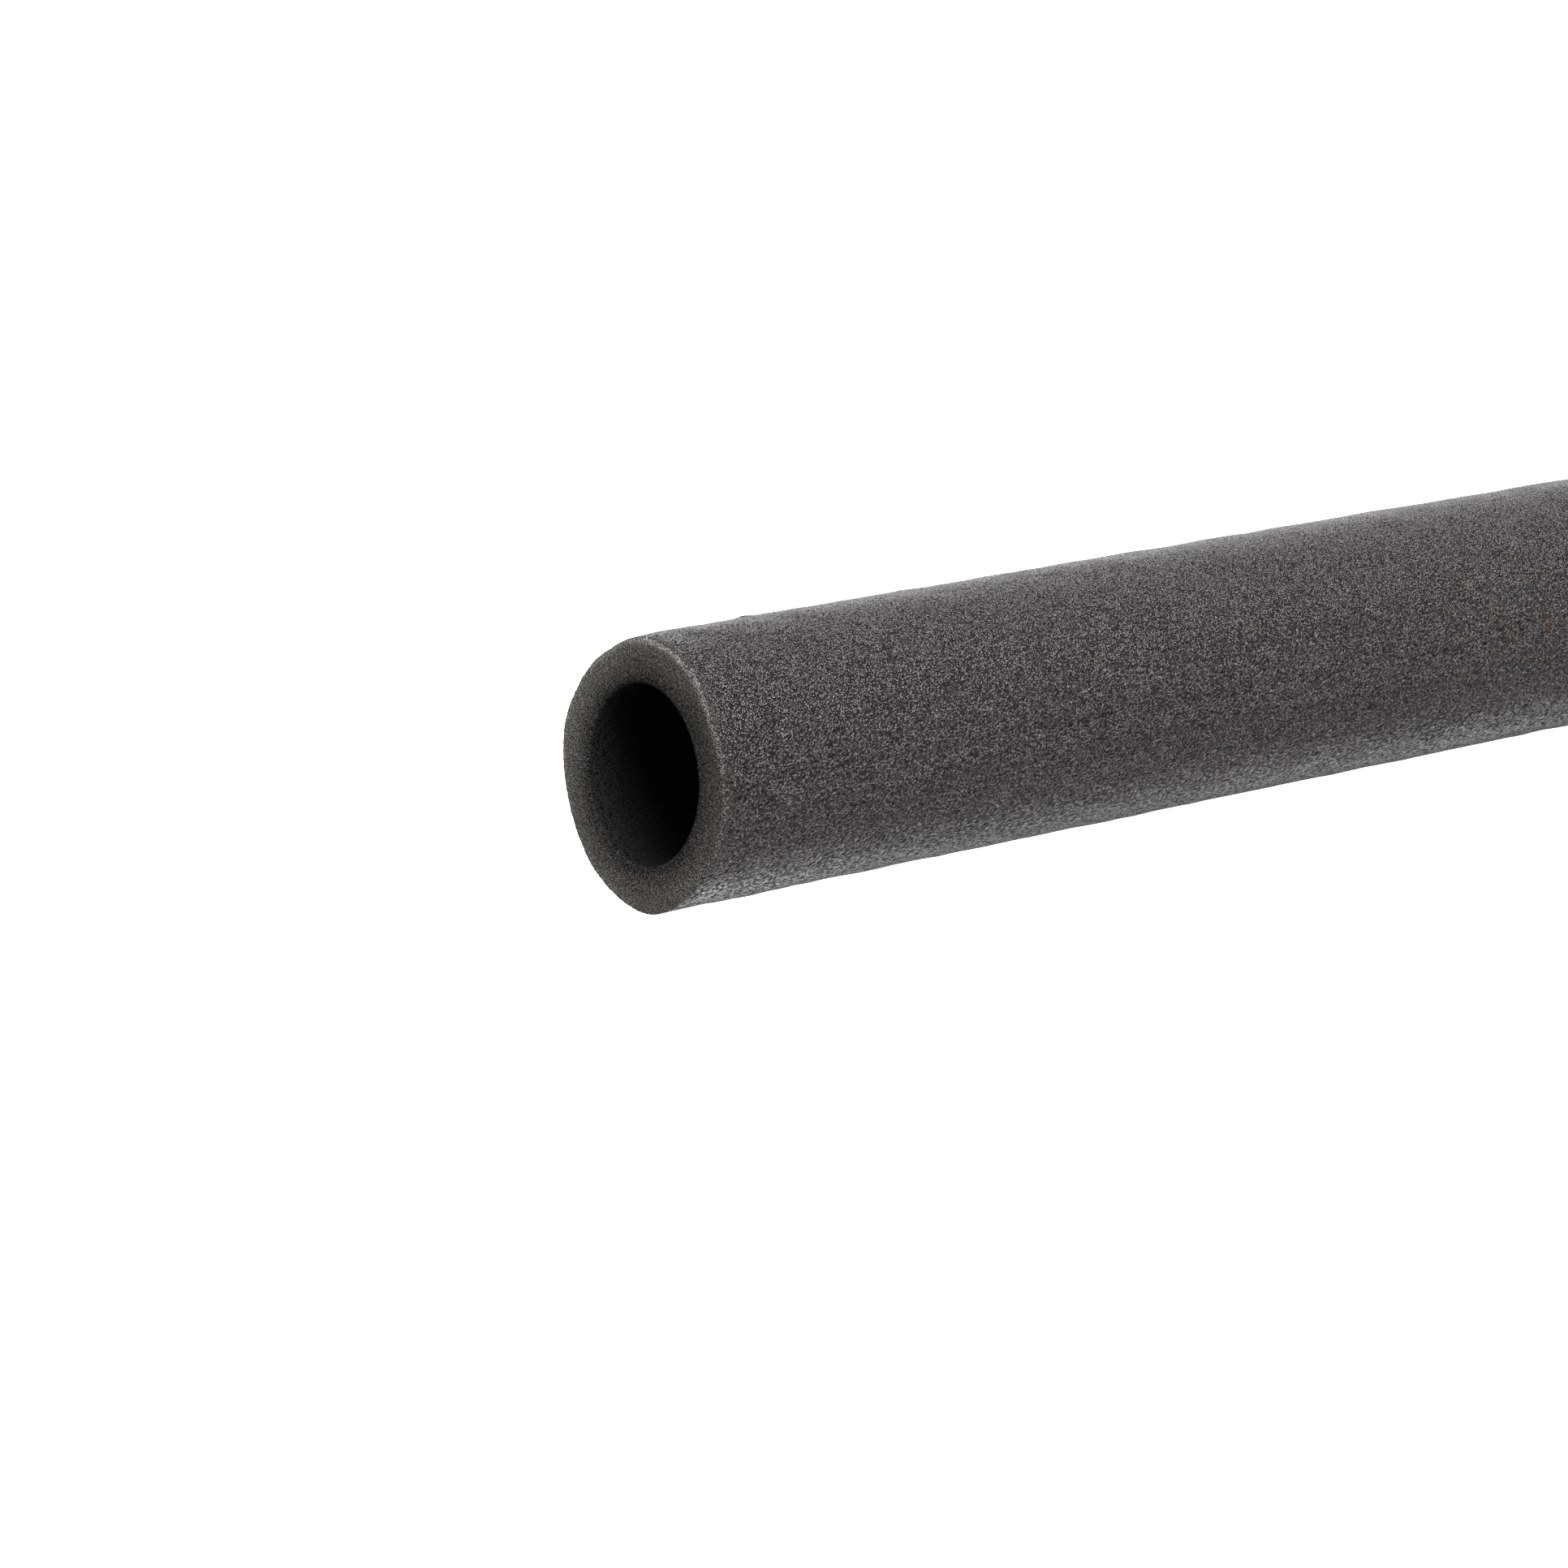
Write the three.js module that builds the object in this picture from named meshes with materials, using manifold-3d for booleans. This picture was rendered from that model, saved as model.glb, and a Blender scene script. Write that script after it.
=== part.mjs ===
// Foam pipe lagging: one extruded tube of closed-cell polyethylene foam, cut to length. Its cut
// edges are softly rounded, and a fine score runs along its side, where it is slit open to go
// round a pipe. Millimetres, +Z up. The tube stands on one end, with the origin under its middle.

import * as THREE from "three";
import { mergeVertices } from "three/addons/utils/BufferGeometryUtils.js";
import Module from "manifold-3d";

// Driving dimensions
const length = 1000;
const boreDiameter = 35;
const wallThickness = 9;
const outerEdgeRadius = 1.5;
const boreEdgeRadius = 1.0;
const scoreWidth = 0.3;
const scoreDepth = 0.8;
const scoreAngle = 75; // degrees round the tube, from +X towards -Y

// Facets
const sides = 96; // a multiple of 4, so that a corner lies on each of +X, -X, +Y and -Y
const arcSteps = 4; // straight steps in each quarter round of a cut edge

// Sizes that follow from the driving ones
const boreRadius = boreDiameter / 2;
const outerRadius = boreRadius + wallThickness;
const cutOverrun = 5; // how far the score's cutter reaches past what it cuts

const wasm = await Module();
wasm.setup();

// The wall's section beside the axis, as a closed loop: x is the radius, y is the height.
function wallProfile() {
  const bore = boreRadius + boreEdgeRadius;
  const skin = outerRadius - outerEdgeRadius;
  const quarter = Math.PI / 2;
  const loop = new THREE.Path();
  loop.absarc(bore, boreEdgeRadius, boreEdgeRadius, 2 * quarter, 3 * quarter);
  loop.absarc(skin, outerEdgeRadius, outerEdgeRadius, -quarter, 0);
  loop.absarc(skin, length - outerEdgeRadius, outerEdgeRadius, 0, quarter);
  loop.absarc(bore, length - boreEdgeRadius, boreEdgeRadius, quarter, 2 * quarter);
  loop.closePath();
  return loop.getPoints(arcSteps / 2); // a path takes two steps round an arc for each one asked
}

// The plain tube, turned round Y and then stood up along Z.
function tubeGeometry() {
  const turned = new THREE.LatheGeometry(wallProfile(), sides);
  return turned.rotateX(Math.PI / 2);
}

// A long wedge that cuts the score: its two faces meet at the score's depth under the skin.
function scoreCutter() {
  const tip = outerRadius - scoreDepth;
  const back = outerRadius + cutOverrun;
  const halfBack = ((scoreWidth / 2) * (back - tip)) / scoreDepth;
  const wedge = new THREE.Shape([
    new THREE.Vector2(tip, 0),
    new THREE.Vector2(back, -halfBack),
    new THREE.Vector2(back, halfBack),
  ]);
  const depth = length + 2 * cutOverrun;
  const cutter = new THREE.ExtrudeGeometry(wedge, { depth, bevelEnabled: false });
  cutter.translate(0, 0, -cutOverrun);
  return cutter.rotateZ(THREE.MathUtils.degToRad(-scoreAngle));
}

// A closed three.js geometry as a solid that can be cut.
function toSolid(geometry) {
  const bare = geometry.clone().deleteAttribute("normal").deleteAttribute("uv");
  const merged = mergeVertices(bare, 1e-4);
  const vertProperties = merged.attributes.position.array;
  const triVerts = new Uint32Array(merged.index.array);
  return new wasm.Manifold(new wasm.Mesh({ numProp: 3, vertProperties, triVerts }));
}

// A cut solid as a three.js geometry again.
function toGeometry(solid) {
  const { vertProperties, triVerts } = solid.getMesh();
  const geometry = new THREE.BufferGeometry();
  geometry.setAttribute("position", new THREE.BufferAttribute(vertProperties, 3));
  geometry.setIndex(new THREE.BufferAttribute(triVerts, 1));
  geometry.computeVertexNormals();
  return geometry;
}

const foam = new THREE.MeshStandardMaterial({
  name: "grey_foam",
  color: 0x4a4948,
  roughness: 0.62,
  metalness: 0,
});

const scored = toSolid(tubeGeometry()).subtract(toSolid(scoreCutter()));
const foamTube = new THREE.Mesh(toGeometry(scored), foam);
foamTube.name = "foam_tube";

const pipeLagging = new THREE.Group();
pipeLagging.name = "pipe_lagging";
pipeLagging.add(foamTube);

export default pipeLagging;
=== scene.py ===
"""One length of grey foam pipe lagging, standing on its end, dressed for a close studio view."""

import math

import bmesh
import bpy
from mathutils import Matrix, Vector, noise


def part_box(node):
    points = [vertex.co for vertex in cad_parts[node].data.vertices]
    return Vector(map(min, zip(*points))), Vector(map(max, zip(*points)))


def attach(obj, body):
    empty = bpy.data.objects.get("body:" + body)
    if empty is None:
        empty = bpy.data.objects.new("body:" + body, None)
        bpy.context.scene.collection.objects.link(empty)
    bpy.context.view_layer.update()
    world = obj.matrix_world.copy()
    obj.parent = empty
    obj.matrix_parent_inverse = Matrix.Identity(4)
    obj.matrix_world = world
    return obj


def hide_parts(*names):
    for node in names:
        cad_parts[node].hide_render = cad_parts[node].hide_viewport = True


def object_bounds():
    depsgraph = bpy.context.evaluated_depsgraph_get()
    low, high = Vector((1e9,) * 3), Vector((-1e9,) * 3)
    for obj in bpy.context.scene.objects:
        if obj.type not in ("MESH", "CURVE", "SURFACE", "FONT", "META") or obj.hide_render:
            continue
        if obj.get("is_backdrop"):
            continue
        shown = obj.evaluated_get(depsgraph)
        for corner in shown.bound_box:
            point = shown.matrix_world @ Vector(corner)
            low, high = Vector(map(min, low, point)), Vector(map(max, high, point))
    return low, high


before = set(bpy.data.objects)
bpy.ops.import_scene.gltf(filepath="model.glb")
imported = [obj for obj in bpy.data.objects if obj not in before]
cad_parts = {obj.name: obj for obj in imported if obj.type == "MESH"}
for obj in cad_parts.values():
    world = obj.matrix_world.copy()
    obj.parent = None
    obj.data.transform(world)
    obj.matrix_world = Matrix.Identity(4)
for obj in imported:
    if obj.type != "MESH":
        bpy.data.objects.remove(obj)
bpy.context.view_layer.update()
scene = bpy.context.scene


# The camera
# The photograph shows the tube lying down, from beside its cut end. Here the tube stands on its
# other end, so the camera is turned with it by a quarter turn and sees it the same way round.
box_low, box_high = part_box("foam_tube")
outer_radius = (box_high.x - box_low.x) / 2
length = box_high.z - box_low.z
cut_rise = 0.0017  # how far the middle of the slanting cut end lies below the tube's length

camera_lens = 118.05
camera_sensor = 36.0
camera_yaw = math.radians(37.45)
camera_pitch = math.radians(14.55)
camera_above_end = 0.56013
camera_in_front = 0.77630
camera_beside = 0.24662
nearest_seen = 0.01
farthest_seen = 60.0
quarter_turn = math.radians(90)

camera_data = bpy.data.cameras.new("photo_camera")
camera_data.lens = camera_lens
camera_data.sensor_width = camera_sensor
camera_data.clip_start = nearest_seen
camera_data.clip_end = farthest_seen
camera = bpy.data.objects.new("photo_camera", camera_data)
scene.collection.objects.link(camera)
camera_place = Vector((camera_beside, -camera_in_front, length - cut_rise + camera_above_end))
camera.matrix_world = (
    Matrix.Translation(camera_place)
    @ Matrix.Rotation(quarter_turn, 4, "Y")
    @ Matrix.Rotation(-camera_yaw, 4, "Z")
    @ Matrix.Rotation(quarter_turn - camera_pitch, 4, "X")
)
scene.camera = camera


# The foam tube
# Closed-cell polyethylene foam, extruded as one tube with a thin skin inside and out, and cut to
# length with a knife. The mesh is finest at the end that the camera sees.
bore_radius = 0.0175
outer_edge_radius = 0.0012
bore_edge_radius = 0.0010
columns = 360
face_rings = 22
outer_edge_rings = 8
bore_edge_rings = 4
bore_cuts = 8
fine_zone = 0.036
seen_zone = 0.260
fine_step = 0.0010
seen_step = 0.0040
plain_step = 0.025
same_spot = 1e-6
same_plane = 1e-7


def wall_section():
    """The wall's section beside the axis, with its edges rounded and its ends divided."""
    section = bmesh.new()
    inner, outer = bore_radius, outer_radius
    corners = ((inner, 0.0), (outer, 0.0), (outer, length), (inner, length))
    verts = [section.verts.new((x, 0.0, z)) for x, z in corners]
    section.faces.new(verts)
    for corner_pair, edge_radius, rings in (
        (verts[1:3], outer_edge_radius, outer_edge_rings),
        ([verts[0], verts[3]], bore_edge_radius, bore_edge_rings),
    ):
        bmesh.ops.bevel(
            section,
            geom=corner_pair,
            offset=edge_radius,
            offset_type="OFFSET",
            segments=rings,
            profile=0.5,
            affect="VERTICES",
            material=-1,
        )
    bmesh.ops.delete(section, geom=section.faces[:], context="FACES_ONLY")
    wall = outer - inner
    ends = [e for e in section.edges if wall / 2 < e.calc_length() < wall]
    bmesh.ops.subdivide_edges(section, edges=ends, cuts=face_rings - 1)
    return section


def upright_edges(mesh, low, high, radius=0.0):
    """The edges along the tube that lie between two heights, outside a radius."""
    found = []
    for e in mesh.edges:
        a, b = e.verts[0].co, e.verts[1].co
        if min(a.z, b.z) < low - same_spot or max(a.z, b.z) > high + same_spot:
            continue
        if abs(a.z - b.z) >= fine_step and math.hypot(a.x, a.y) > radius:
            found.append(e)
    return found


tube = wall_section()
bmesh.ops.spin(
    tube,
    geom=tube.verts[:] + tube.edges[:],
    cent=(0.0, 0.0, 0.0),
    axis=(0.0, 0.0, 1.0),
    dvec=(0.0, 0.0, 0.0),
    angle=2 * math.pi,
    steps=columns,
    use_merge=True,
    use_duplicate=False,
)
bmesh.ops.remove_doubles(tube, verts=tube.verts[:], dist=same_spot)
bmesh.ops.recalc_face_normals(tube, faces=tube.faces[:])

heights = (0.0, length - seen_zone, length - fine_zone, length)
for level in heights[1:3]:
    bmesh.ops.bisect_plane(
        tube,
        geom=tube.verts[:] + tube.edges[:] + tube.faces[:],
        plane_co=(0.0, 0.0, level),
        plane_no=(0.0, 0.0, 1.0),
        dist=same_plane,
    )
for low, high, step in zip(heights, heights[1:], (plain_step, seen_step, fine_step)):
    skin_edges = upright_edges(tube, low, high, outer_radius - outer_edge_radius)
    bmesh.ops.subdivide_edges(tube, edges=skin_edges, cuts=round((high - low) / step) - 1)
top_edges = upright_edges(tube, length - fine_zone, length)
bore_edges = [e for e in top_edges if e.calc_length() > fine_zone / 2]
bmesh.ops.subdivide_edges(tube, edges=bore_edges, cuts=bore_cuts)


# The score
# A knife line along the tube's side, where it is slit open to go round a pipe. It is a shallow
# groove that wanders a little, fades in places, and doesn't reach through the wall.
score_angle = math.radians(-74.3)
score_width = 0.00028
score_depth = 0.00030
score_wander = 0.00045
score_reach = 0.0035
score_zone = 4 * score_depth
on_score = score_width / 8
bend_pitch = 0.022
kink_pitch = 0.004
kink_share = 0.4
fade_pitch = 0.006
mean_depth = 0.55
depth_change = 0.75
least_depth = 0.1
noise_gain = 1.6

half_score_turn = score_width / 2 / outer_radius
for turn in (-half_score_turn, 0.0, half_score_turn):
    across = Vector((-math.sin(score_angle + turn), math.cos(score_angle + turn), 0.0))
    facing = Vector((math.cos(score_angle + turn), math.sin(score_angle + turn), 0.0))
    near_score = [
        v
        for v in tube.verts
        if v.co.dot(facing) > outer_radius - score_zone
        and abs(v.co.dot(across)) < score_reach / 2
    ]
    touched = dict.fromkeys(near_score)  # each vertex, edge and face once
    for v in near_score:
        touched.update(dict.fromkeys((*v.link_edges, *v.link_faces)))
    bmesh.ops.bisect_plane(
        tube, geom=list(touched), plane_co=(0.0, 0.0, 0.0), plane_no=across, dist=same_plane
    )


def drift(place, pitch, seed):
    """A smooth wander from about -1 to 1 that turns once in each pitch."""
    return noise_gain * noise.noise(place / pitch + Vector((seed, seed / 3, 0)))


for v in tube.verts:
    radius = math.hypot(v.co.x, v.co.y)
    angle = math.atan2(v.co.y, v.co.x)
    off_score = (angle - score_angle) * outer_radius
    if radius < outer_radius - outer_edge_radius or abs(off_score) > score_reach:
        continue
    along = Vector((0.0, 0.0, v.co.z))
    bends = drift(along, bend_pitch, seed=3.1) + kink_share * drift(along, kink_pitch, seed=7.7)
    shift = score_wander * bends / (1 + kink_share)
    angle += shift * (1 - abs(off_score) / score_reach) / outer_radius
    if abs(off_score) < on_score:
        depth = mean_depth + depth_change * drift(along, fade_pitch, seed=5.2)
        radius -= score_depth * min(1.0, max(least_depth, depth))
    v.co.x = radius * math.cos(angle)
    v.co.y = radius * math.sin(angle)


# The cut end
# The knife went through askew, pushed the rim out of true and tore the cells open, so the end is
# pitted and ragged. Its colour carries painted light toward the rim and the back and painted
# shade toward the bore and the front, with a warm tint of dust at the rim. The skin swells a
# little where its cells are larger. What each vertex is like is kept with it for the finishes
# further down.
rim_zone = 0.0030
same_ring = 1e-5
opened_range = (0.35, 0.75)
ragged_pitch = 0.0008
ragged_share = 0.35
cut_cell = 0.00062
cut_relief = 0.00016
rim_relief = 0.00015
rim_bite = 1.3
bite_shift = Vector((5, 0, 0))
cut_wave = 0.00015
cut_wave_pitch = 0.014

worn_range = (0.0005, 0.0026)
worn_pitch = 0.002
worn_wander = 0.0008
mouth_light_depth = 0.010
painted_light_outward = 0.57
painted_light_behind = 0.75
painted_light_levelling = 0.25
fringe_range = (0.74, 1.02)
fringe_pitch = 0.003
fringe_wander = 0.05
fringe_front_shade = -0.13
fringe_back_light = 0.80
stain_along = ((0.180, 0.215), (0.300, 0.260))
stain_around = ((42, 60), (108, 88))

skin_wave = 0.00012
skin_swell = 0.00030
end_swell = 0.00010
swell_pitch = 0.008
ripple_pitch = 0.003
ripple_share = 0.5
swell_reach = 0.018
foot_reach = 0.010

# Where the rim is pushed, as degrees round from +X towards -Y, how far outward and along the
# tube, and how many degrees the push reaches to either side.
push_reach = 0.010
push_range = (0.2, 0.9)
end_pushes = (
    (58, 0.0, 0.0010, 30),
    (150, 0.0, 0.0016, 34),
    (172, 0.00040, 0.0004, 38),
    (280, 0.0, 0.0008, 28),
    (332, -0.00050, -0.0005, 28),
)

round_edges = [
    e
    for e in tube.edges
    if min(v.co.z for v in e.verts) > length - rim_zone
    and abs(math.hypot(*e.verts[0].co.xy) - math.hypot(*e.verts[1].co.xy)) < same_ring
    and abs(e.verts[0].co.z - e.verts[1].co.z) < same_ring
]
bmesh.ops.subdivide_edges(tube, edges=round_edges, cuts=1)


def smooth_step(low, high, value):
    """A share that goes smoothly from 0 at low to 1 at high; high may be the smaller."""
    share = min(1.0, max(0.0, (value - low) / (high - low)))
    return share * share * (3 - 2 * share)


def stretch_of(ends, value):
    """A share that is 1 along a stretch and goes to 0 past each of its ends."""
    return smooth_step(*ends[0], value) * smooth_step(*ends[1], value)


opened_layer, worn_layer, painted_light_layer, mouth_light_layer, stained_layer = (
    tube.verts.layers.float.new(name) for name in ("opened", "worn", "pale", "mouth", "stained")
)
for v in tube.verts:
    place = v.co.copy()
    radius = math.hypot(place.x, place.y)
    sides = Vector((place.x, place.y, 0.0)) / radius
    around = math.degrees(-math.atan2(place.y, place.x))
    outward = (radius - bore_radius) / (outer_radius - bore_radius)
    behind = (1 + place.y / radius) / 2
    below_top = length - place.z
    below_end = min(below_top, place.z)

    ragged = ragged_share * drift(place, ragged_pitch, seed=9.4)
    opened = 1 - smooth_step(*opened_range, below_end / outer_edge_radius + ragged)
    worn_from_end = below_end + worn_wander * drift(place, worn_pitch, seed=4.1)
    # Painted light on the cut end: paler toward the rim and the back, and painted shade toward
    # the bore and the front. The fringe at the rim adds painted light at the back and painted
    # shade at the front.
    fringe_at = outward + fringe_wander * drift(place, fringe_pitch, seed=8.2)
    fringe_light_here = fringe_front_shade + (fringe_back_light - fringe_front_shade) * behind
    pale = (1 + painted_light_behind * behind) * painted_light_outward * outward * (1 - painted_light_levelling * outward)
    v[opened_layer] = opened
    v[worn_layer] = 1 - smooth_step(*worn_range, worn_from_end)
    v[painted_light_layer] = pale + fringe_light_here * smooth_step(*fringe_range, fringe_at)
    # Painted light at the bore's mouth, fading to painted shade deeper in, with dust from the
    # cut.
    v[mouth_light_layer] = 1 - smooth_step(0.0, mouth_light_depth, below_end)
    v[stained_layer] = stretch_of(stain_along, below_top) * stretch_of(stain_around, around)

    if radius > (bore_radius + outer_radius) / 2:
        ripple = ripple_share * drift(place, ripple_pitch, seed=2.9)
        wave = skin_wave * (drift(place, swell_pitch, seed=1.7) + ripple)
        rise = smooth_step(0.0, swell_reach, below_end)
        swell = end_swell + (skin_swell - end_swell) * rise
        v.co += sides * (swell + wave) * smooth_step(0.0, foot_reach, place.z)
    if below_end > 2 * outer_edge_radius and below_top > fine_zone:
        continue
    torn = (1 - noise.voronoi(place / cut_cell)[0][0]) * cut_relief * opened
    v.co.z += torn if place.z < below_top else -torn
    bite = rim_bite - noise.voronoi(place / cut_cell + bite_shift)[0][0]
    outer_edge = smooth_step(outer_radius - outer_edge_radius, outer_radius, radius)
    v.co -= sides * rim_relief * outer_edge * opened * bite
    if below_top < fine_zone:
        wave = cut_wave * drift(place, cut_wave_pitch, seed=6.3)
        askew = cut_rise * (1 + place.x / outer_radius) + wave
        v.co.z -= askew * smooth_step(fine_zone, 0.0, below_top)
    near_rim = smooth_step(push_reach, 0.0, below_top) * smooth_step(*push_range, outward)
    for push_around, out, forward, spread in end_pushes:
        apart = abs((around - push_around + 180) % 360 - 180)
        share = near_rim * smooth_step(spread, 0.0, apart)
        v.co += sides * out * share
        v.co.z += forward * share


# The sliver
# A small shred of skin stands up a little way from the cut end, on the side that faces up in the
# photograph, away from the score.
sliver_angle = math.radians(15.7)
sliver_below_end = 0.0302
sliver_half_length = 0.0018
sliver_half_width = 0.0009
sliver_height = 0.00030

for v in tube.verts:
    along = (length - cut_rise - v.co.z - sliver_below_end) / sliver_half_length
    aside = (math.atan2(v.co.y, v.co.x) - sliver_angle) * outer_radius / sliver_half_width
    on_skin = math.hypot(v.co.x, v.co.y) > outer_radius - outer_edge_radius
    if on_skin and abs(along) < 1 and abs(aside) < 1:
        lift = sliver_height * (1 - along * along) * (1 - aside * aside)
        v.co += Vector((v.co.x, v.co.y, 0.0)).normalized() * lift


# The tube's one mesh
# Each face shows one of three kinds of foam: the outer skin, the cells that the knife opened, or
# the skin of the bore, which starts a little way round the bore's rounded edge.
bore_skin_share = 0.35
least_opened = 0.001

skin_slot, cut_slot, bore_slot = range(3)
for f in tube.faces:
    f.smooth = True
    middle = f.calc_center_median()
    if math.hypot(middle.x, middle.y) < bore_radius + bore_skin_share * bore_edge_radius:
        f.material_index = bore_slot
    elif min(v[opened_layer] for v in f.verts) > least_opened:
        f.material_index = cut_slot
    else:
        f.material_index = skin_slot
tube_mesh = bpy.data.meshes.new("lagging_tube")
tube.to_mesh(tube_mesh)
tube.free()
lagging = bpy.data.objects.new("lagging_tube", tube_mesh)
scene.collection.objects.link(lagging)


# The outer skin's finish
# The skin is drawn over the cells and shows each as a small dark bulge with a waxy crest. Each
# crest carries a painted highlight, and the hollows between the cells carry painted shade.
# Towards the lower side of the photograph the cells are drawn out at a slant, and underneath
# they are larger. Close to the ends the skin is worn dull.
warp_scale = 0.8
warp_detail = 1.0
crumple_by = (0.5, 0.5, 0.5)
dome_slope = 1.4
least_lift = 0.7
cloud_detail = 3.0
cloud_roughness = 0.6
cloud_range = (0.3, 0.7)
mix_ports = {"FLOAT": (2, 3, 0), "RGBA": (6, 7, 2)}  # a Mix node's sockets: A, B, result
white = (1.0, 1.0, 1.0, 1.0)

skin_shine = 0.10
skin_coat_roughness = 0.26
skin_cell = 0.00029
skin_under_cell = 0.00041
skin_bulge = 0.00065
skin_relief = 0.00038
skin_cell_share = 0.93
skin_stretch = (0.52, 1.50, 2.00)
skin_lean = math.radians(-27)
drawn_side = (0.62 * outer_radius, 0.54 * outer_radius)
under_side = (-0.30 * outer_radius, -0.36 * outer_radius)
side_wander = 0.25 * outer_radius
patch_size = 0.004
spot_size = 0.0032
spot_range = (0.45, 0.85)
glint_range = (0.60, 0.88)
glint_tone = (0.10, 0.65, 0.45, 1.0)
hollow_shade_range = (0.12, 0.52)
rough_range = (0.15, 0.50, 1.0, 0.40)
coat_range = (0.54, 0.84)
worn_strength = 0.60
skin_colour = (0.0185, 0.0178, 0.0181, 1.0)
skin_hollow_shade = (0.0070, 0.0067, 0.0069, 1.0)
skin_crest_glint = (0.308, 0.2978, 0.3012, 1.0)
skin_warm = (1.01, 0.98, 0.96, 1.0)
skin_cool = (1.00, 0.97, 1.01, 1.0)
skin_stain = (1.20, 1.00, 0.90, 1.0)
skin_worn = (0.046, 0.0436, 0.0412, 1.0)


def set_input(tree, socket, value):
    """Feeds an input from another socket, or gives it a plain value."""
    if isinstance(value, bpy.types.NodeSocket):
        tree.links.new(value, socket)
    else:
        socket.default_value = value


def math_node(tree, operation, first, second, clamp=False):
    node = tree.nodes.new("ShaderNodeMath")
    node.operation = operation
    node.use_clamp = clamp
    set_input(tree, node.inputs[0], first)
    set_input(tree, node.inputs[1], second)
    return node.outputs[0]


def at_scale(tree, vector, size):
    """The place on the tube, counted in steps of a size."""
    node = tree.nodes.new("ShaderNodeVectorMath")
    node.operation = "SCALE"
    set_input(tree, node.inputs[0], vector)
    set_input(tree, node.inputs["Scale"], math_node(tree, "DIVIDE", 1.0, size))
    return node.outputs[0]


def mixed(tree, kind, factor, first, second, blend="MIX"):
    """A Mix node of colours or numbers, which have their own sockets on it."""
    node = tree.nodes.new("ShaderNodeMix")
    node.data_type = kind
    node.blend_type = blend
    first_port, second_port, result_port = mix_ports[kind]
    set_input(tree, node.inputs[0], factor)
    set_input(tree, node.inputs[first_port], first)
    set_input(tree, node.inputs[second_port], second)
    return node.outputs[result_port]


def ramp(tree, value, low, high, bottom=0.0, top=1.0):
    """A number brought smoothly from low..high to bottom..top."""
    node = tree.nodes.new("ShaderNodeMapRange")
    node.interpolation_type = "SMOOTHSTEP"
    titles = ("Value", "From Min", "From Max", "To Min", "To Max")
    for title, number in zip(titles, (value, low, high, bottom, top)):
        set_input(tree, node.inputs[title], number)
    return node.outputs["Result"]


def uneven_tone(tree, place, size):
    """A number from 0 to 1 that changes from patch to patch."""
    cloud = tree.nodes.new("ShaderNodeTexNoise")
    cloud.inputs["Scale"].default_value = 1.0
    cloud.inputs["Detail"].default_value = cloud_detail
    cloud.inputs["Roughness"].default_value = cloud_roughness
    tree.links.new(at_scale(tree, place, size), cloud.inputs["Vector"])
    return ramp(tree, cloud.outputs["Fac"], *cloud_range)


def attribute(tree, name):
    """A share that the mesh keeps at each of its vertices."""
    node = tree.nodes.new("ShaderNodeAttribute")
    node.attribute_type = "GEOMETRY"
    node.attribute_name = name
    return node.outputs["Fac"]


def foam_material(name, shine):
    """A material on the tube: its nodes, its Principled shader and the place to read."""
    material = bpy.data.materials.new(name)
    material.use_nodes = True
    tree = material.node_tree
    tree.nodes.clear()
    surface = tree.nodes.new("ShaderNodeBsdfPrincipled")
    surface.inputs["Specular IOR Level"].default_value = shine
    output = tree.nodes.new("ShaderNodeOutputMaterial")
    tree.links.new(surface.outputs["BSDF"], output.inputs["Surface"])
    lagging.data.materials.append(material)
    return tree, surface, tree.nodes.new("ShaderNodeTexCoord").outputs["Object"]


def add_relief(tree, surface, height, depth):
    """A bump of a real depth in metres, from a height of 0 to 1."""
    bump = tree.nodes.new("ShaderNodeBump")
    bump.inputs["Strength"].default_value = 1.0
    bump.inputs["Distance"].default_value = 1.0
    tree.links.new(math_node(tree, "MULTIPLY", height, depth), bump.inputs["Height"])
    tree.links.new(bump.outputs["Normal"], surface.inputs["Normal"])


# The cells of every kind of foam here: crumpled domes of uneven height, each with its own tone.
bulges = bpy.data.node_groups.new("foam_bulges", "ShaderNodeTree")
for title, direction, kind in (
    ("Vector", "INPUT", "NodeSocketVector"),
    ("Cell Size", "INPUT", "NodeSocketFloat"),
    ("Height", "OUTPUT", "NodeSocketFloat"),
    ("Tone", "OUTPUT", "NodeSocketFloat"),
):
    bulges.interface.new_socket(title, in_out=direction, socket_type=kind)
start = bulges.nodes.new("NodeGroupInput")
end = bulges.nodes.new("NodeGroupOutput")
cells_at = at_scale(bulges, start.outputs["Vector"], start.outputs["Cell Size"])
warp = bulges.nodes.new("ShaderNodeTexNoise")
warp.inputs["Scale"].default_value = warp_scale
warp.inputs["Detail"].default_value = warp_detail
bulges.links.new(cells_at, warp.inputs["Vector"])
crumple = bulges.nodes.new("ShaderNodeVectorMath")
crumple.operation = "MULTIPLY_ADD"
crumple.inputs[1].default_value = crumple_by
bulges.links.new(warp.outputs["Color"], crumple.inputs[0])
bulges.links.new(cells_at, crumple.inputs[2])
cell = bulges.nodes.new("ShaderNodeTexVoronoi")
cell.feature = "F1"
cell.inputs["Scale"].default_value = 1.0
bulges.links.new(crumple.outputs[0], cell.inputs["Vector"])
square = math_node(bulges, "MULTIPLY", cell.outputs["Distance"], cell.outputs["Distance"])
fall = math_node(bulges, "MULTIPLY", square, dome_slope)
dome = math_node(bulges, "SUBTRACT", 1.0, fall, clamp=True)
parts = bulges.nodes.new("ShaderNodeSeparateColor")
bulges.links.new(cell.outputs["Color"], parts.inputs["Color"])
extra_lift = math_node(bulges, "MULTIPLY", parts.outputs["Red"], 1 - least_lift)
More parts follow.
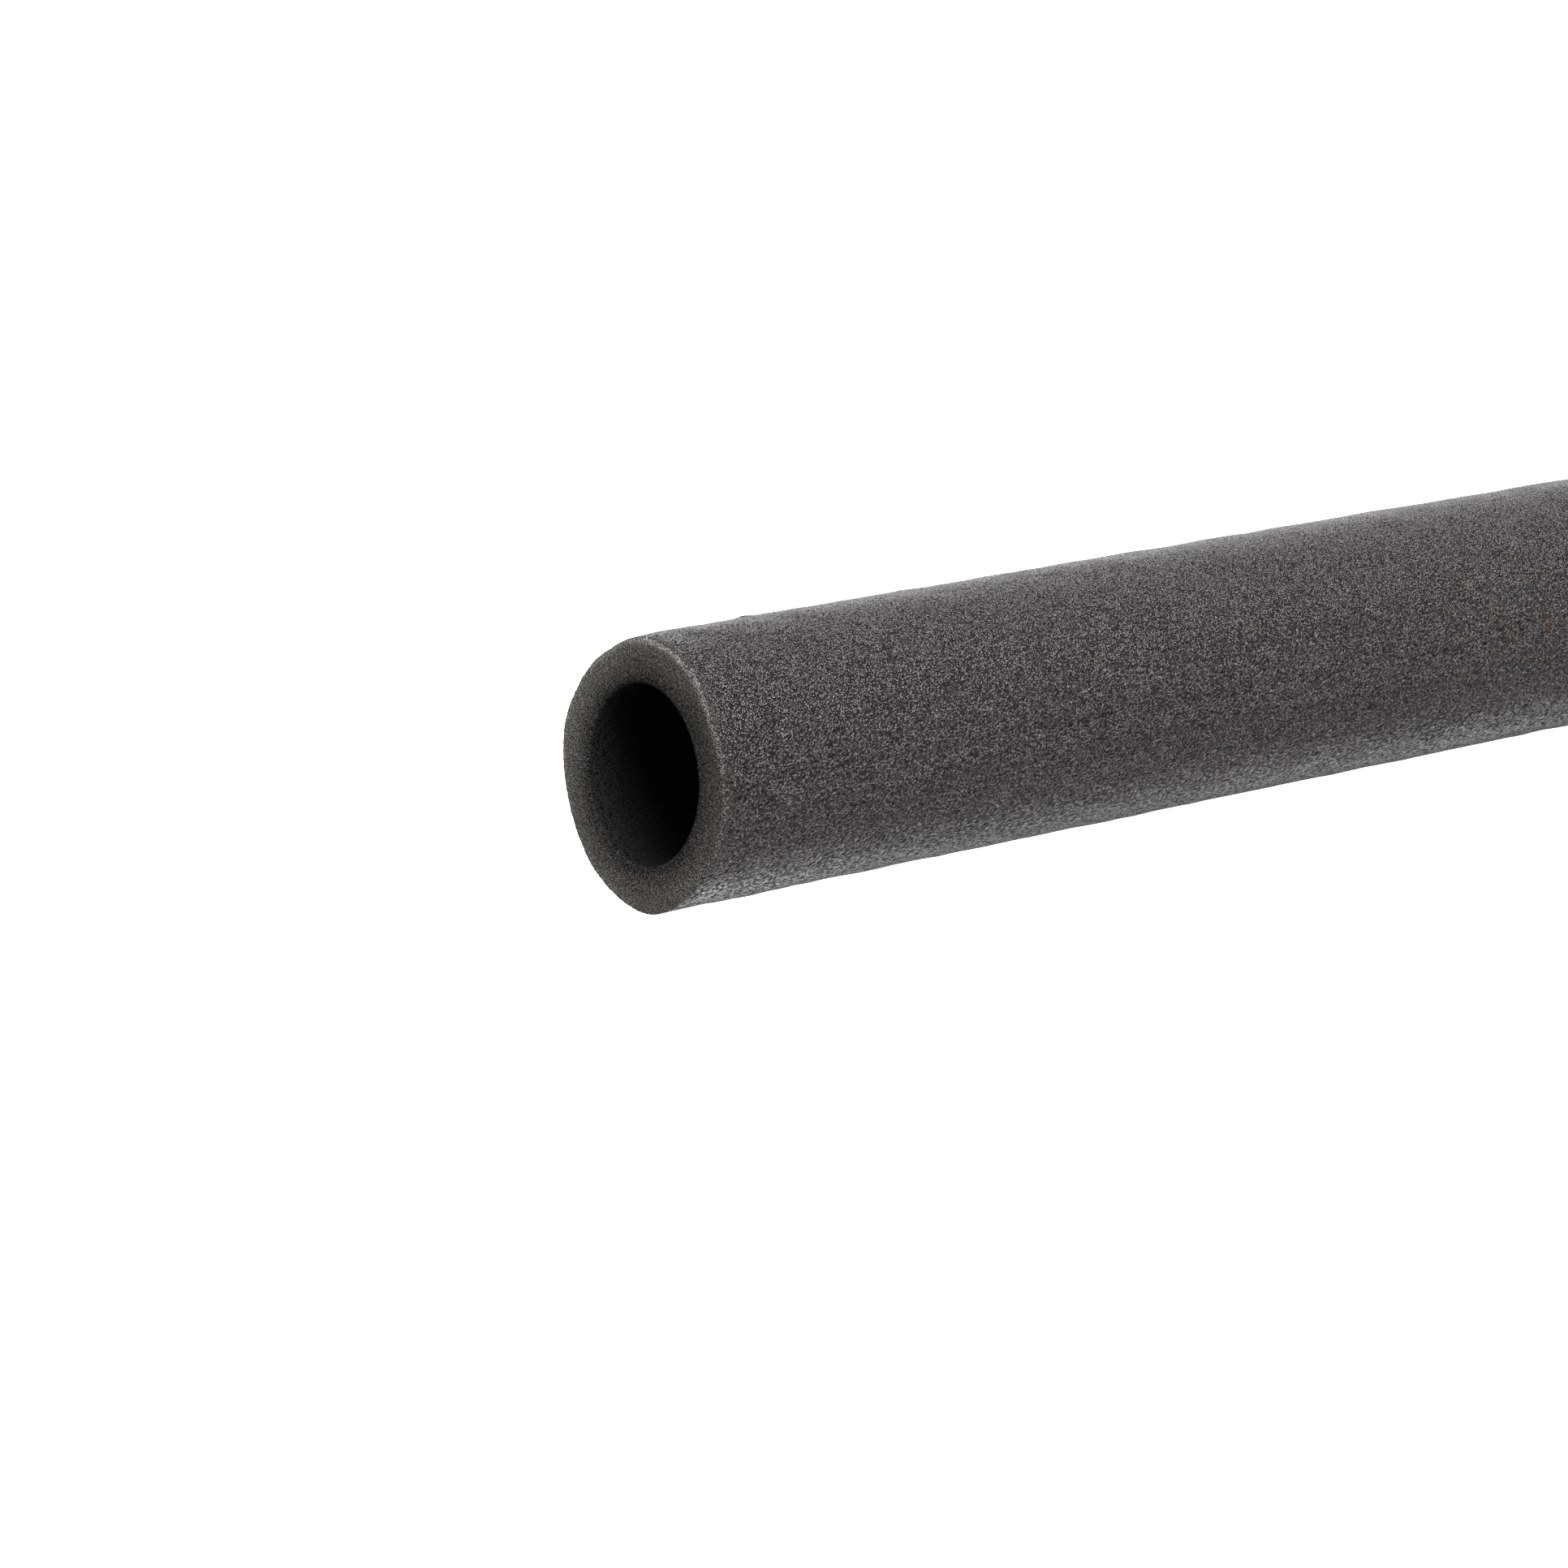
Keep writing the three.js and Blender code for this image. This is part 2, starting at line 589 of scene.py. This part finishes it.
lift = math_node(bulges, "ADD", least_lift, extra_lift)
set_input(bulges, end.inputs["Height"], math_node(bulges, "MULTIPLY", dome, lift))
set_input(bulges, end.inputs["Tone"], parts.outputs["Green"])


def foam_cells(tree, place, size):
    """The cells placed in a material: their Height and Tone."""
    node = tree.nodes.new("ShaderNodeGroup")
    node.node_tree = bulges
    node.inputs["Cell Size"].default_value = size
    tree.links.new(place, node.inputs["Vector"])
    return node.outputs


tree, surface, place = foam_material("foam_skin", skin_shine)
surface.inputs["Coat Roughness"].default_value = skin_coat_roughness
stretch = tree.nodes.new("ShaderNodeMapping")
stretch.vector_type = "TEXTURE"
stretch.inputs["Rotation"].default_value = (0.0, skin_lean, 0.0)
stretch.inputs["Scale"].default_value = skin_stretch
tree.links.new(place, stretch.inputs["Vector"])
drawn_out = stretch.outputs["Vector"]
broad = foam_cells(tree, place, skin_bulge)

axes = tree.nodes.new("ShaderNodeSeparateXYZ")
tree.links.new(place, axes.inputs["Vector"])
patches = uneven_tone(tree, place, patch_size)
wander = math_node(tree, "MULTIPLY", patches, side_wander)
height_here = math_node(tree, "ADD", axes.outputs["X"], wander)
skin = foam_cells(tree, place, skin_cell)
for size, side in ((skin_cell, drawn_side), (skin_under_cell, under_side)):
    cells = foam_cells(tree, drawn_out, size)
    there = ramp(tree, height_here, *side)
    skin = {t: mixed(tree, "FLOAT", there, skin[t], cells[t]) for t in ("Height", "Tone")}

# Painted highlight: each cell's crest is coloured pale where its glint would be.
crest_glints = ramp(tree, skin["Height"], *glint_range)
crest_glints = math_node(tree, "MULTIPLY", crest_glints, ramp(tree, skin["Tone"], *glint_tone))
# Painted shade: the hollows between the cells are coloured darker.
tint = mixed(tree, "RGBA", ramp(tree, skin["Height"], *hollow_shade_range), skin_hollow_shade, skin_colour)
tint = mixed(tree, "RGBA", crest_glints, tint, skin_crest_glint)
hue = mixed(tree, "RGBA", patches, skin_cool, skin_warm)
tint = mixed(tree, "RGBA", 1.0, tint, hue, blend="MULTIPLY")
spots = ramp(tree, uneven_tone(tree, place, spot_size), *spot_range)
stained = math_node(tree, "MULTIPLY", attribute(tree, "stained"), spots)
stain = mixed(tree, "RGBA", stained, white, skin_stain)
tint = mixed(tree, "RGBA", 1.0, tint, stain, blend="MULTIPLY")
worn = math_node(tree, "MULTIPLY", attribute(tree, "worn"), worn_strength)
tint = mixed(tree, "RGBA", worn, tint, skin_worn)
set_input(tree, surface.inputs["Base Color"], tint)
set_input(tree, surface.inputs["Roughness"], ramp(tree, skin["Height"], *rough_range))
unworn = math_node(tree, "SUBTRACT", 1.0, attribute(tree, "worn"))
coat = math_node(tree, "MULTIPLY", ramp(tree, skin["Height"], *coat_range), unworn)
set_input(tree, surface.inputs["Coat Weight"], coat)
relief = mixed(tree, "FLOAT", skin_cell_share, broad["Height"], skin["Height"])
add_relief(tree, surface, relief, skin_relief)


# The cut foam's finish
# Where the knife opened the cells, their thin walls show as pale flecks with a painted highlight,
# round small hollows coloured darker as painted shade, and the gloss is gone. Where painted light
# makes the foam paler near the rim, its flecks are also the more even.
cut_shine = 0.04
cut_roughness = 0.90
cut_grain = 0.00035
cut_depth = 0.00045
cut_inner_shaded = (0.030, 0.0286, 0.0305, 1.0)
cut_rim_lit_dusty = (0.290, 0.2775, 0.2530, 1.0)
cut_hollow_shade = (0.25, 0.25, 0.26, 1.0)
cut_fleck_highlight = (2.8, 2.8, 2.8, 1.0)
cut_hollow_shade_range = (0.15, 0.60)
fleck_highlight_range = (0.56, 0.86)
fleck_highlight_tone = (0.2, 0.8)
even_range = (0.10, 0.60, 0.0, 0.40)

tree, surface, place = foam_material("cut_foam", cut_shine)
surface.inputs["Roughness"].default_value = cut_roughness
opened = foam_cells(tree, place, cut_grain)
pale = attribute(tree, "pale")
# Painted light and shade: the cut end's colour goes from shaded near the bore to lit near the rim
# and the back, with a warm tint of dust at the rim.
tint = mixed(tree, "RGBA", pale, cut_inner_shaded, cut_rim_lit_dusty)
# Painted shade in the opened cells' hollows, and a painted highlight on the pale flecks of their
# walls.
hollow_shade = ramp(tree, opened["Height"], *cut_hollow_shade_range)
shade = mixed(tree, "RGBA", hollow_shade, cut_hollow_shade, white)
fleck_highlights = ramp(tree, opened["Height"], *fleck_highlight_range)
fleck_highlights = math_node(tree, "MULTIPLY", fleck_highlights, ramp(tree, opened["Tone"], *fleck_highlight_tone))
shade = mixed(tree, "RGBA", fleck_highlights, shade, cut_fleck_highlight)
shade = mixed(tree, "RGBA", ramp(tree, pale, *even_range), shade, white)
tint = mixed(tree, "RGBA", 1.0, tint, shade, blend="MULTIPLY")
set_input(tree, surface.inputs["Base Color"], tint)
add_relief(tree, surface, opened["Height"], cut_depth)


# The bore's finish
# The bore's skin is dull, with shallow cells. Its colour is darker than the outer one's as
# painted shade, its hollows are darker still as painted shade, and it is a little paler at the
# mouth of the bore with painted light and dust from the cut.
bore_shine = 0.02
bore_roughness = 0.90
bore_cell = 0.00042
bore_relief = 0.00010
bore_shaded_colour = (0.0105, 0.0101, 0.0104, 1.0)
bore_hollow_shade = (0.005, 0.0048, 0.0049, 1.0)
bore_mouth_lit_dusty = (0.021, 0.0203, 0.0208, 1.0)
bore_hollow_shade_range = (0.2, 0.7)

tree, surface, place = foam_material("bore_skin", bore_shine)
surface.inputs["Roughness"].default_value = bore_roughness
inside = foam_cells(tree, place, bore_cell)
# Painted shade: the bore's colour is darker than the outer skin's. Toward the mouth it is paler
# with painted light and dust from the cut.
tint = mixed(tree, "RGBA", attribute(tree, "mouth"), bore_shaded_colour, bore_mouth_lit_dusty)
hollow_shade = ramp(tree, inside["Height"], *bore_hollow_shade_range)
tint = mixed(tree, "RGBA", hollow_shade, bore_hollow_shade, tint)
set_input(tree, surface.inputs["Base Color"], tint)
add_relief(tree, surface, inside["Height"], bore_relief)

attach(lagging, "root")
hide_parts("foam_tube")


# The studio
# A plain pale floor, a soft white surround, a soft light on each side of the tube and one over
# the floor behind it. A black card in front of the tube and a grey one behind it dim what reaches
# it from there, so it is bright along both edges and darkest below the middle.
floor_size = 30.0
half_metre = 0.5
floor_tone = 0.95
dull = 0.9
surround_strength = 0.45
black_tone = 0.02
grey_tone = 0.22
around_middle = (0.0, 0.0, 0.85 * length)
above_end = (0.0, 0.0, 1.35 * length)
over_floor = (-0.30, 1.45, 1.5)
floor_spot = (-0.30, 1.45, 0.0)


def plain_material(name, tone):
    """A dull grey of one tone."""
    material = bpy.data.materials.new(name)
    material.use_nodes = True
    surface = material.node_tree.nodes["Principled BSDF"]
    surface.inputs["Base Color"].default_value = (tone, tone, tone, 1.0)
    surface.inputs["Roughness"].default_value = dull
    return material


def stage_sheet(name, sheet, tone, seen=True):
    """A plain sheet of the studio, which isn't part of the object."""
    sheet_mesh = bpy.data.meshes.new(name)
    sheet.to_mesh(sheet_mesh)
    sheet.free()
    board = bpy.data.objects.new(name, sheet_mesh)
    board.visible_camera = seen
    scene.collection.objects.link(board)
    sheet_mesh.materials.append(plain_material(name, tone))
    board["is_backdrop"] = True


def standing_card(name, place, turn, size, tone):
    """An upright card that faces the tube; the camera doesn't see it."""
    facing = Matrix.Rotation(quarter_turn - math.radians(turn), 3, "Z")
    upright = Matrix.Rotation(quarter_turn, 3, "X")
    sheet = bmesh.new()
    bmesh.ops.create_grid(sheet, x_segments=1, y_segments=1, size=half_metre)
    bmesh.ops.scale(sheet, vec=(size[0], size[1], 1.0), verts=sheet.verts[:])
    bmesh.ops.rotate(sheet, matrix=upright, verts=sheet.verts[:])
    bmesh.ops.rotate(sheet, matrix=facing, verts=sheet.verts[:])
    bmesh.ops.translate(sheet, vec=place, verts=sheet.verts[:])
    stage_sheet(name, sheet, tone, seen=False)


def soft_light(name, place, aim, size, power, spread=180):
    """A square softbox that faces a point; the camera doesn't see it."""
    data = bpy.data.lights.new(name, "AREA")
    data.shape = "SQUARE"
    data.size = size
    data.energy = power
    data.spread = math.radians(spread)
    light = bpy.data.objects.new(name, data)
    light.location = place
    light.rotation_euler = (Vector(place) - Vector(aim)).to_track_quat("Z", "Y").to_euler()
    light.visible_camera = False
    scene.collection.objects.link(light)


def around_tube(degrees, distance, height):
    """A place beside the tube, so many degrees round from +X towards -Y."""
    turn = -math.radians(degrees)
    return (distance * math.cos(turn), distance * math.sin(turn), height)


bare_floor = bmesh.new()
bmesh.ops.create_grid(bare_floor, x_segments=1, y_segments=1, size=floor_size / 2)
stage_sheet("floor", bare_floor, floor_tone)

surround = bpy.data.worlds.new("white_surround")
surround.use_nodes = True
surround.node_tree.nodes["Background"].inputs["Color"].default_value = white
surround.node_tree.nodes["Background"].inputs["Strength"].default_value = surround_strength
scene.world = surround
scene.view_settings.view_transform = "Standard"

soft_light("upper_softbox", around_tube(48, 1.2, 1.10), above_end, size=0.8, power=31.0)
soft_light("lower_softbox", around_tube(200, 1.2, 0.52), around_middle, size=0.52, power=10.5)
soft_light("floor_light", over_floor, floor_spot, size=1.6, power=26.0, spread=105)
standing_card("black_card", around_tube(125, 0.42, 0.75), 125, (0.60, 1.30), black_tone)
standing_card("grey_card", around_tube(240, 0.42, 0.62), 240, (0.38, 0.90), grey_tone)

low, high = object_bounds()
